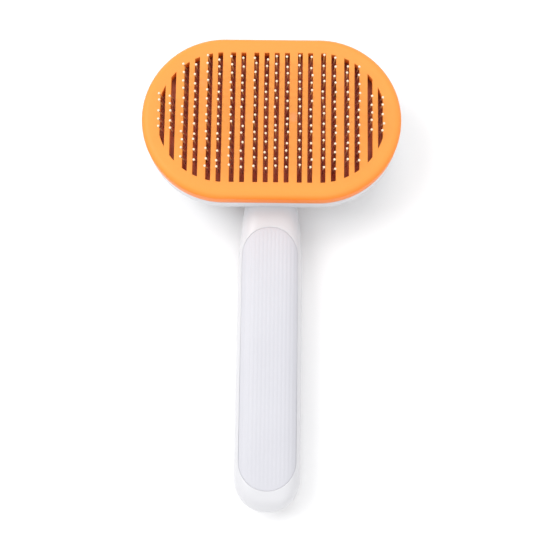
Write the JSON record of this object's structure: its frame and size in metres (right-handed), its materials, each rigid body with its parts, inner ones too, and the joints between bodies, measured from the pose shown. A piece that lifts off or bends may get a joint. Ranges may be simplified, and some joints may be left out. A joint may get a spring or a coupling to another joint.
{
  "type": "slicker brush",
  "caption": "Pet slicker brush with a wide stadium head, bent wire pins with ball tips, a slotted hair-ejecting plate worked by a sprung thumb button, and a ribbed straight handle.",
  "frame": {"origin": "centre of the push button's flat face, on the axis along which the button and plate slide", "axes": "+X across the head, +Y along the handle towards the head, +Z out of the pins; the brush lies on its back on z = 0"},
  "size_m": [0.105, 0.1905, 0.0454],
  "materials": {
    "white_plastic": "satin",
    "grip_plastic": "matte, ribbed",
    "orange_plastic": "satin",
    "natural_plastic": "moulded",
    "cushion_rubber": "matte",
    "pin_steel": "drawn wire",
    "tip_resin": "glossy",
    "screw_steel": "zinc plated",
    "spring_steel": "oiled"
  },
  "bodies": {
    "brush": {"handle_front_shell": "white_plastic", "handle_back_shell": "white_plastic", "front_grip_panel": "grip_plastic", "back_grip_panel": "grip_plastic", "handle_screws": "screw_steel", "head_housing": "white_plastic", "pin_carrier": "natural_plastic", "cushion_pad": "cushion_rubber", "return_spring": "spring_steel", "carrier_screws": "screw_steel", "pin_column_01": "pin_steel", "pin_column_02": "pin_steel", "pin_column_03": "pin_steel", "pin_column_04": "pin_steel", "pin_column_05": "pin_steel", "pin_column_06": "pin_steel", "pin_column_07": "pin_steel", "pin_column_08": "pin_steel", "pin_column_09": "pin_steel", "pin_column_10": "pin_steel", "tip_beads_01": "tip_resin", "tip_beads_02": "tip_resin", "tip_beads_03": "tip_resin", "tip_beads_04": "tip_resin", "tip_beads_05": "tip_resin", "tip_beads_06": "tip_resin", "tip_beads_07": "tip_resin", "tip_beads_08": "tip_resin", "tip_beads_09": "tip_resin", "tip_beads_10": "tip_resin"},
    "ejector": {"ejector_plate": "orange_plastic", "push_frame": "natural_plastic", "frame_screws": "screw_steel", "thumb_button": "orange_plastic", "button_screws": "screw_steel"}
  },
  "joints": [
    {"name": "plate_slide", "type": "slide", "parent": "brush", "child": "ejector", "axis": [0, 0, 1], "range_m": [0, 0.0085], "stiffness_N_per_m": 600, "springref_m": -0.006, "deforming": ["return_spring"]}
  ]
}
